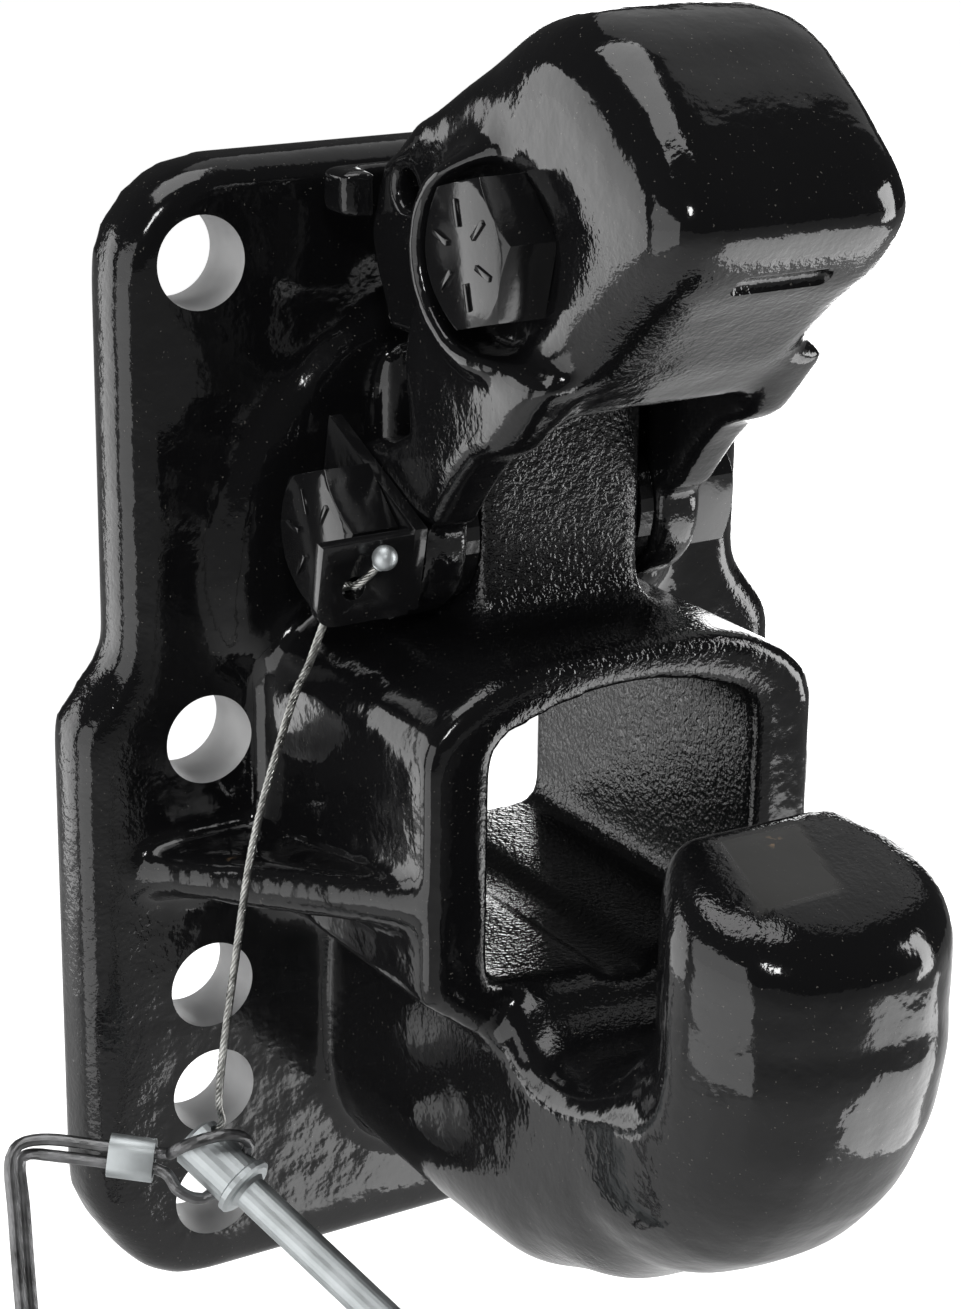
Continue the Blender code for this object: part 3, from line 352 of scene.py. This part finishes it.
def smoothLine(points, count):
    places = [Vector(place) for place in points]
    padded = [2 * places[0] - places[1]] + places + [2 * places[-1] - places[-2]]
    dense = []
    for a, b, c, d in zip(padded, padded[1:], padded[2:], padded[3:]):
        for step in range(30):
            t = step / 30
            dense.append(0.5 * (2 * b + (c - a) * t + (2 * a - 5 * b + 4 * c - d) * t * t
                                + (3 * b - a - 3 * c + d) * t ** 3))
    dense.append(places[-1])
    lengths = [0.0]
    for before, after in zip(dense, dense[1:]):
        lengths.append(lengths[-1] + (after - before).length)
    even = []
    index = 0
    for sample in range(count):
        wanted = lengths[-1] * sample / (count - 1)
        while index < len(lengths) - 2 and lengths[index + 1] < wanted:
            index += 1
        share = (wanted - lengths[index]) / (lengths[index + 1] - lengths[index])
        even.append(dense[index].lerp(dense[index + 1], min(1.0, share)))
    return even, lengths[-1]


def layRope(name, route, look):
    line, length = smoothLine(route, look["steps"])
    curve = bpy.data.curves.new(name, "CURVE")
    curve.dimensions = "3D"
    curve.bevel_depth = look["strandRadius"]
    curve.bevel_resolution = 1
    curve.use_fill_caps = True
    side = (line[1] - line[0]).orthogonal().normalized()
    sides = []
    for index, place in enumerate(line):
        along = (line[min(index + 1, len(line) - 1)] - line[max(index - 1, 0)]).normalized()
        side = (side - along * side.dot(along)).normalized()
        sides.append((side.copy(), along.cross(side)))
    for strand in range(7):
        spline = curve.splines.new("POLY")
        spline.points.add(len(line) - 1)
        for index, place in enumerate(line):
            turn = 2 * math.pi * (strand / 6 + length * index / (len(line) - 1) / look["lay"])
            reach = look["layRadius"] if strand < 6 else 0.0
            first, second = sides[index]
            spot = place + (first * math.cos(turn) + second * math.sin(turn)) * reach
            spline.points[index].co = (*spot, 1.0)
    holder = bpy.data.objects.new(name, curve)
    bpy.context.scene.collection.objects.link(holder)
    selectOnly(holder)
    bpy.ops.object.convert(target="MESH")
    rope = bpy.context.object
    smoothBy(rope, 60)
    return rope, line, length


rope, ropeLine, ropeLength = layRope("cable", cable["route"], cable)
dress(rope, "hook", "lanyard_cable", ["lanyard_cable"], ropeSteel)
print("cable laid,", round(ropeLength, 4), "m")


# the two stops: a ball cut flat where the rope enters, with a short swaged neck
stopShape = {"flatAt": 0.88, "collar": 0.1, "rim": 0.0002}
ballStop = {
    "centre": (-0.0489, -0.0697, 0.0009),
    "toward": (-0.430, 0.446, -0.785),
    "radius": 0.0027,
    "neck": 0.0003,
}
endStop = {
    "centre": (-0.084378, -0.053605, -0.133963),
    "toward": (0.3215, -0.3547, 0.8780),
    "radius": 0.0022,
    "neck": 0.0001,
}


def makeStop(name, look):
    bpy.ops.object.select_all(action="DESELECT")
    bpy.ops.mesh.primitive_uv_sphere_add(segments=40, ring_count=24, radius=look["radius"])
    stop = bpy.context.object
    stop.name = name
    bpy.ops.object.mode_set(mode="EDIT")
    bpy.ops.mesh.select_all(action="SELECT")
    flat = (0, 0, look["radius"] * stopShape["flatAt"])
    bpy.ops.mesh.bisect(plane_co=flat, plane_no=(0, 0, 1), use_fill=True, clear_outer=True)
    collar = (0, 0, look["radius"] * stopShape["collar"])
    bpy.ops.mesh.extrude_region_move(TRANSFORM_OT_translate={"value": collar})
    bpy.ops.mesh.inset(thickness=stopShape["rim"], depth=-look["neck"])
    bpy.ops.object.mode_set(mode="OBJECT")
    stop.location = look["centre"]
    stop.rotation_mode = "QUATERNION"
    stop.rotation_quaternion = turnTo(look["toward"])
    settle(stop)
    smoothBy(stop, 40)
    return stop


ball = makeStop("ballStop", ballStop)
dress(ball, "hook", "lanyard_ball_stop", ["lanyard_ball_stop"], zincPlate)
foot = makeStop("endStop", endStop)
dress(foot, "hook", "lanyard_end_stop", ["lanyard_end_stop"], zincPlate)


# edges eased on turned, forged and folded pieces
def easeEdges(piece, width, segments, angle=30.0):
    bevel = piece.modifiers.new("edges", "BEVEL")
    bevel.width = width
    bevel.segments = segments
    bevel.limit_method = "ANGLE"
    bevel.angle_limit = math.radians(angle)
    bevel.use_clamp_overlap = True
    applyAll(piece)
    smoothBy(piece, 35)
    return piece


pin = refinish("lock_pin", zincPlate)
bail = refinish("pin_bail", springSteel)
weld = bail.modifiers.new("weld", "WELD")
weld.merge_threshold = 0.00001
rounder = bail.modifiers.new("round", "SUBSURF")
rounder.levels = rounder.render_levels = 1
sleeve = easeEdges(copyOf("bail_ferrule", "bailSleeve"), 0.0003, 2, 40.0)
dress(sleeve, "bail", "bail_ferrule", ["bail_ferrule"], zincPlate)

print("lanyard, pin and bail made")


# castings: remeshed and relaxed so that every arris is soft, then drilled again
def readTable(table, angle):
    # a value read from (angle, value) pairs
    if angle <= table[0][0] or angle >= table[-1][0]:
        return 0.0
    for (low, first), (high, second) in zip(table, table[1:]):
        if angle <= high:
            return first + (second - first) * (angle - low) / (high - low)
    return 0.0


def swell(piece, look):
    # slide the skin in or out from a middle line along x, seen from the side
    for vertex in piece.data.vertices:
        y = vertex.co.y / mm - look["middle"][0]
        z = vertex.co.z / mm - look["middle"][1]
        reach = math.hypot(y, z)
        if abs(vertex.co.x) / mm > look["half"] or reach < look["still"]:
            continue
        push = readTable(look["pushes"], math.degrees(math.atan2(z, y)) % 360)
        push *= min(1.0, (reach - look["still"]) / (look["full"] - look["still"]))
        vertex.co.y += push * y / reach * mm
        vertex.co.z += push * z / reach * mm


def softenCasting(piece, look, shape=None, extra=None):
    remesh = piece.modifiers.new("remesh", "REMESH")
    remesh.mode = "VOXEL"
    remesh.voxel_size = look["voxel"]
    applyAll(piece)
    if shape:
        shape(piece)
    relax = piece.modifiers.new("relax", "SMOOTH")
    relax.factor = 0.5
    relax.iterations = look["relax"]
    if extra:
        group = piece.vertex_groups.new(name="extra")
        for vertex in piece.data.vertices:
            share = extra(*(vertex.co / mm))
            if share > 0:
                group.add([vertex.index], share, "REPLACE")
        more = piece.modifiers.new("more", "SMOOTH")
        more.factor = 0.5
        more.iterations = look["extraRelax"]
        more.vertex_group = "extra"
    applyAll(piece)


def drill(piece, cutter):
    cutting = piece.modifiers.new("drill", "BOOLEAN")
    cutting.operation = "DIFFERENCE"
    cutting.solver = "EXACT"
    cutting.object = cutter
    selectOnly(piece)
    bpy.ops.object.modifier_apply(modifier=cutting.name)
    bpy.data.objects.remove(cutter, do_unlink=True)


def joinAll(name, parts):
    whole = joinInto(parts[0], parts[1:])
    whole.name = name
    return whole


hookLook = {
    "voxel": 0.0017,
    "relax": 11,
    "extraRelax": 32,
    "holeRadius": 0.01032,
    "holeSlack": 0.0001,
    "holeColumns": (-0.0635, 0.0635),
    "holeRows": (0.054, -0.054, -0.1143, -0.1413, -0.1683),
    "plateThick": 0.0166,
    "plateDrop": 0.0044,
    "plugSpare": 0.002,
    "boreDepth": 0.05,
    "boreMiddle": -0.02,
}
hornLook = {
    "middle": (-110.0, -82.0), "half": 34.0, "still": 24.0, "full": 64.0,
    "pushes": ((173, 0.0), (180, 1.1), (194, 1.9), (208, 1.9), (215, 1.1), (222, -0.2), (229, -2.0),
               (236, -4.2), (243, -7.0), (250, -9.4), (257, -10.7), (264, -8.8), (271, -8.6), (278, -5.8),
               (285, -1.2), (305, 0.0)),
    "pinch": 0.24,
    "topBack": (-50.0, -42.0),
    "topFront": (-41.0, -54.0),
}


def hookSoft(x, y, z):
    # where the casting is rounder than its edges: horn top, belly, and the roots on the plate
    top = ease(-136 - y, 0, 8) * ease(z, -76, -60)
    belly = ease(-50 - y, 0, 15) * ease(-128 - z, 0, 12)
    roots = ease(abs(x), 38, 44) * ease(76 - abs(x), 0, 6) * ease(y + 42, 0, 14)
    roots *= ease(66 - z, 0, 6) * ease(z + 178, 0, 6)
    return max(top, belly, roots)


def shapeHook(piece):
    # a rounder belly, a narrower back to the horn, a top that falls forward and a plate that reaches lower
    swell(piece, hornLook)
    for vertex in piece.data.vertices:
        y = vertex.co.y / mm
        z = vertex.co.z / mm
        if y > -24 and z < -174:
            vertex.co.z -= hookLook["plateDrop"] * ease(-174 - z, 0, 13)
        if y < -100 and z > -108:
            vertex.co.x *= 1 - hornLook["pinch"] * ease(z, -108, -84) * ease(y, -154, -133)
        if y > -128 or z < -82:
            continue
        forward = (-131 - y) / 48
        was = hornLook["topBack"][0] + (hornLook["topFront"][0] - hornLook["topBack"][0]) * forward
        now = hornLook["topBack"][1] + (hornLook["topFront"][1] - hornLook["topBack"][1]) * forward
        vertex.co.z = (-82 + (z + 82) * (now + 82) / (was + 82)) * mm


def nearHole(x, z):
    for row in hookLook["holeRows"]:
        for column in hookLook["holeColumns"]:
            if math.hypot(x - column, z - row) < hookLook["holeRadius"] + hookLook["holeSlack"]:
                return True
    return False


hookGrainLook = {"least": 0.06, "most": 0.9, "throat": 0.5, "top": 0.4, "sides": 0.22}


def hookGrain(x, y, z):
    # how rough the iron shows through: most in the window and on the neck
    inWindow = ease(40 - abs(x), 0, 6) * ease(y + 92, 0, 6) * ease(z, -120, -85) * ease(-25 - z, -10, 5)
    neck = ease(30 - abs(x), 0, 8) * ease(-52 - y, 0, 6) * ease(z, -32, -24)
    throat = ease(-90 - y, 0, 6) * ease(y + 124, 0, 8) * ease(30 - abs(x), 0, 8) * ease(-80 - z, 0, 8)
    throat *= hookGrainLook["throat"]
    top = ease(-132 - y, 0, 6) * ease(z, -58, -50) * hookGrainLook["top"]
    sides = ease(abs(x), 74, 84) * ease(-2 - y, 0, 3) * hookGrainLook["sides"]
    rough = hookGrainLook["least"] + hookGrainLook["most"] * max(inWindow, neck, throat, top, sides)
    return min(1.0, rough) * (1 - hookPatch(x, y, z))


def hookPatch(x, y, z):
    # the worn dull patch on the horn's top
    if z < -60 or y > -128:
        return 0.0
    skew = x + 5 - 0.25 * (y + 150)
    return ease(11 - abs(skew), 0, 1.6) * ease(-139 - y, 0, 1.6) * ease(y + 163, 0, 1.6)


# each chip in the paint: its place and radius in millimetres
chipSpots = ((-71, -33, -73.5, 2.6), (-68, -36, -73.5, 1.8), (-2, -144, -46, 2.2))


def hookChips(x, y, z):
    return max(1 - ease(math.dist((x, y, z), spot[:3]), spot[3] * 0.5, spot[3]) for spot in chipSpots)


def makeHook():
    casting = copyOf("hook_body", "hookCasting")
    plugs = []
    bores = []
    thick = hookLook["plateThick"]
    for row in hookLook["holeRows"]:
        for column in hookLook["holeColumns"]:
            radius = hookLook["holeRadius"]
            wide = radius + hookLook["plugSpare"]
            plugs.append(addCylinder("plug", (column, -thick / 2, row), (0, 1, 0), wide, thick, 32))
            middle = (column, hookLook["boreMiddle"], row)
            bores.append(addCylinder("bore", middle, (0, 1, 0), radius, hookLook["boreDepth"], 64))
    joinInto(casting, plugs)
    softenCasting(casting, hookLook, shapeHook, hookSoft)
    drill(casting, joinAll("bores", bores))
    for face in casting.data.polygons:
        centre = face.center
        face.material_index = 1 if abs(face.normal.y) < 0.5 and nearHole(centre.x, centre.z) else 0
    paintWeights(casting, "grain", hookGrain)
    paintWeights(casting, "patch", hookPatch)
    paintWeights(casting, "chips", hookChips)
    smoothBy(casting, 50)
    return casting


hook = makeHook()
dress(hook, "hook", "hook_body", ["hook_body"], castingPaint, boredSteel)
print("hook casting made,", len(hook.data.polygons), "faces")

latchLook = {
    "voxel": 0.00115,
    "relax": 14,
    "extraRelax": 50,
}
noseLook = {
    "middle": (-100.0, 74.0), "half": 45.0, "still": 18.0, "full": 31.0,
    "pushes": ((30, 0.0), (45, 1.0), (60, 2.4), (75, 3.0), (90, 3.0), (105, 2.6), (120, 3.2), (130, 4.2),
               (140, 5.0), (150, 5.6), (160, 6.2), (170, 5.4), (180, 2.7), (190, 3.5), (200, 2.8),
               (210, 2.0), (230, 1.4), (250, 1.1), (270, 0.4), (280, 0.0)),
}
crownLook = {"drop": 6.5, "halfWidth": 44.0, "power": 2.6}
slitLook = {
    "size": (0.0235, 0.018, 0.0052),
    "centre": (0.0, -0.1425, 0.0672),
    "tip": -14.0,
    "round": 0.0022,
}


def makeSlitCutter():
    bpy.ops.object.select_all(action="DESELECT")
    bpy.ops.mesh.primitive_cube_add(size=1.0)
    cutter = bpy.context.object
    cutter.scale = slitLook["size"]
    settle(cutter)
    easeEdges(cutter, slitLook["round"], 4)
    cutter.rotation_euler = (math.radians(slitLook["tip"]), 0, 0)
    cutter.location = slitLook["centre"]
    settle(cutter)
    return cutter


latchGrainLook = {"least": 0.06, "most": 0.3, "arms": 0.6}


def latchGrain(x, y, z):
    nose = ease(-100 - y, 0, 12) * ease(82 - z, 0, 14)
    arms = ease(40 - z, 0, 14) * latchGrainLook["arms"]
    return min(1.0, latchGrainLook["least"] + latchGrainLook["most"] * max(nose, arms))


def latchSoft(x, y, z):
    # rounder over the nose's top and along its guards
    top = ease(-52 - y, 0, 12) * ease(z, 56, 74)
    guards = ease(-88 - y, 0, 6) * ease(60 - z, 0, 6)
    return max(top, guards)


def shapeLatch(piece):
    # a fuller nose, with its back shoulders rounded off
    swell(piece, noseLook)
    for vertex in piece.data.vertices:
        x, y, z = vertex.co / mm
        outward = min(1.0, abs(x) / crownLook["halfWidth"]) ** crownLook["power"]
        share = ease(z, 66, 92) * ease(y, -140, -98) * outward
        vertex.co.z -= crownLook["drop"] * share * mm


def makeLatch():
    casting = copyOf("latch", "latchCasting")
    softenCasting(casting, latchLook, shapeLatch, latchSoft)
    drill(casting, makeSlitCutter())
    paintWeights(casting, "grain", latchGrain)
    paintWeights(casting, "patch", lambda x, y, z: 0.0)
    paintWeights(casting, "chips", lambda x, y, z: 0.0)
    smoothBy(casting, 60)
    return casting


latch = makeLatch()
dress(latch, "latch_arm", "latch", ["latch"], castingPaint)
print("latch made,", len(latch.data.polygons), "faces")


leverLook = {"voxel": 0.0008, "relax": 8, "grain": 0.2}


def makeLever():
    casting = copyOf("lock_lever", "lockLever")
    softenCasting(casting, leverLook)
    paintWeights(casting, "grain", lambda x, y, z: leverLook["grain"])
    smoothBy(casting, 60)
    return casting


lever = makeLever()
dress(lever, "lever", "lock_lever", ["lock_lever"], castingPaint)
print("lever made")


# hex bolts and nuts, with plain radial grade lines on the heads
boltLook = {
    "edge": 0.0005,
    "segments": 3,
    "marks": 6,
    "markIn": 0.0056,
    "markOut": 0.0112,
    "markWide": 0.0012,
    "markHigh": 0.0006,
    "markEdge": 0.00016,
}


def gradeMarks(head, y, z, faceX, turn):
    middle = (boltLook["markIn"] + boltLook["markOut"]) / 2
    marks = []
    for index in range(boltLook["marks"]):
        angle = turn + 2 * math.pi * index / boltLook["marks"]
        bpy.ops.object.select_all(action="DESELECT")
        bpy.ops.mesh.primitive_cube_add(size=1.0, location=(0, 0, 0))
        mark = bpy.context.object
        length = boltLook["markOut"] - boltLook["markIn"]
        mark.scale = (boltLook["markHigh"] * 2, length, boltLook["markWide"])
        settle(mark)
        easeEdges(mark, boltLook["markEdge"], 2)
        mark.location = (faceX, y + middle * math.cos(angle), z + middle * math.sin(angle))
        mark.rotation_euler = (angle, 0, 0)
        settle(mark)
        marks.append(mark)
    joinInto(head, marks)


def makeBolt(nodeName, pieceName, body, marks=None):
    piece = easeEdges(copyOf(nodeName, pieceName), boltLook["edge"], boltLook["segments"])
    if marks:
        gradeMarks(piece, *marks)
    dress(piece, body, nodeName, [nodeName], hardwarePaint)
    return piece


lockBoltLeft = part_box("lock_bolt")[0].x
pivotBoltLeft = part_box("latch_pivot_bolt")[0].x
makeBolt("lock_bolt", "lockBolt", "latch_arm", (-0.086, 0.0665, lockBoltLeft, 0.25))
makeBolt("lock_bolt_nut", "lockBoltNut", "latch_arm")
makeBolt("latch_pivot_bolt", "pivotBolt", "hook", (-0.04445, -0.0016, pivotBoltLeft, 0.1))
makeBolt("latch_pivot_nut", "pivotNut", "hook")
bracket = easeEdges(copyOf("lanyard_bracket", "cableBracket"), 0.0005, 3)
dress(bracket, "hook", "lanyard_bracket", ["lanyard_bracket"], hardwarePaint)
for nodeName in ("thrust_washer_left", "thrust_washer_right"):
    refinish(nodeName, hardwarePaint)
refinish("lock_spring", springSteel)
print("hardware made")


# floor, background and soft boxes
stageLook = {
    "floorHeight": -0.62,
    "floorSize": 16.0,
    "colour": (0.55, 0.55, 0.55),
    "white": 0.975,
    "ambient": 0.05,
    "mirrored": 0.2,
    "lampTarget": (0.0, -0.08, -0.04),
}


def makeFloor():
    # the floor's glow is seen by the camera and, faintly, mirrored in the paint
    bpy.ops.object.select_all(action="DESELECT")
    bpy.ops.mesh.primitive_plane_add(size=stageLook["floorSize"], location=(0, 0, stageLook["floorHeight"]))
    floor = bpy.context.object
    floor.name = "floor"
    finish, tree, shader = startFinish("pale_floor")
    shader.inputs["Base Color"].default_value = (*stageLook["colour"], 1.0)
    shader.inputs["Roughness"].default_value = 0.9
    glow = addNode(tree, "ShaderNodeEmission", {"Color": (1, 1, 1, 1)})
    rays = addNode(tree, "ShaderNodeLightPath")
    seen = times(tree, rays.outputs["Is Camera Ray"], stageLook["white"])
    mirrored = times(tree, rays.outputs["Is Glossy Ray"], stageLook["mirrored"])
    link(tree, plus(tree, seen, mirrored), glow.inputs["Strength"])
    both = addNode(tree, "ShaderNodeAddShader")
    link(tree, shader.outputs[0], both.inputs[0])
    link(tree, glow.outputs[0], both.inputs[1])
    link(tree, both.outputs[0], tree.nodes["Material Output"].inputs["Surface"])
    floor.data.materials.append(finish)


def makeWorld():
    world = bpy.data.worlds.new("studio")
    bpy.context.scene.world = world
    world.use_nodes = True
    tree = world.node_tree
    sky = tree.nodes["Background"]
    rays = addNode(tree, "ShaderNodeLightPath")
    strength = between(tree, rays.outputs["Is Camera Ray"], 0.0, 1.0, stageLook["ambient"], 1.0)
    link(tree, strength, sky.inputs["Strength"])
    sky.inputs["Color"].default_value = (1, 1, 1, 1)


lamps = {
    "overhead": {"place": (-0.15, -0.05, 1.0), "size": (0.75, 0.75), "power": 6.0},
    "left": {"place": (-0.9, -0.25, -0.1), "size": (0.95, 0.95), "power": 5.0},
    "backLeft": {"place": (-0.95, 0.85, -0.1), "size": (0.8, 1.0), "power": 6.5},
    "backRight": {"place": (1.05, 0.95, -0.1), "size": (0.8, 1.0), "power": 12.0},
    "high": {"place": (0.72, 0.4, 0.98), "size": (1.3, 1.1), "power": 1.9},
    "low": {"place": (0.47, -0.38, -0.57), "size": (0.65, 0.55), "power": 3.4},
    "right": {"place": (1.0, -0.65, 0.1), "size": (0.28, 1.0), "power": 6.5},
    "frontLeft": {"place": (-0.7, -1.35, 0.95), "size": (0.22, 0.32), "power": 5.5},
}


def makeLamps():
    target = Vector(stageLook["lampTarget"])
    for name, look in lamps.items():
        light = bpy.data.lights.new(name, "AREA")
        light.shape = "RECTANGLE"
        light.size, light.size_y = look["size"]
        light.energy = look["power"]
        lamp = bpy.data.objects.new(name, light)
        lamp.location = look["place"]
        lamp.rotation_euler = (target - Vector(look["place"])).to_track_quat("-Z", "Y").to_euler()
        lamp.visible_camera = False
        bpy.context.scene.collection.objects.link(lamp)


makeFloor()
makeWorld()
makeLamps()
bpy.context.scene.view_settings.view_transform = "Standard"
print("stage and lamps set")
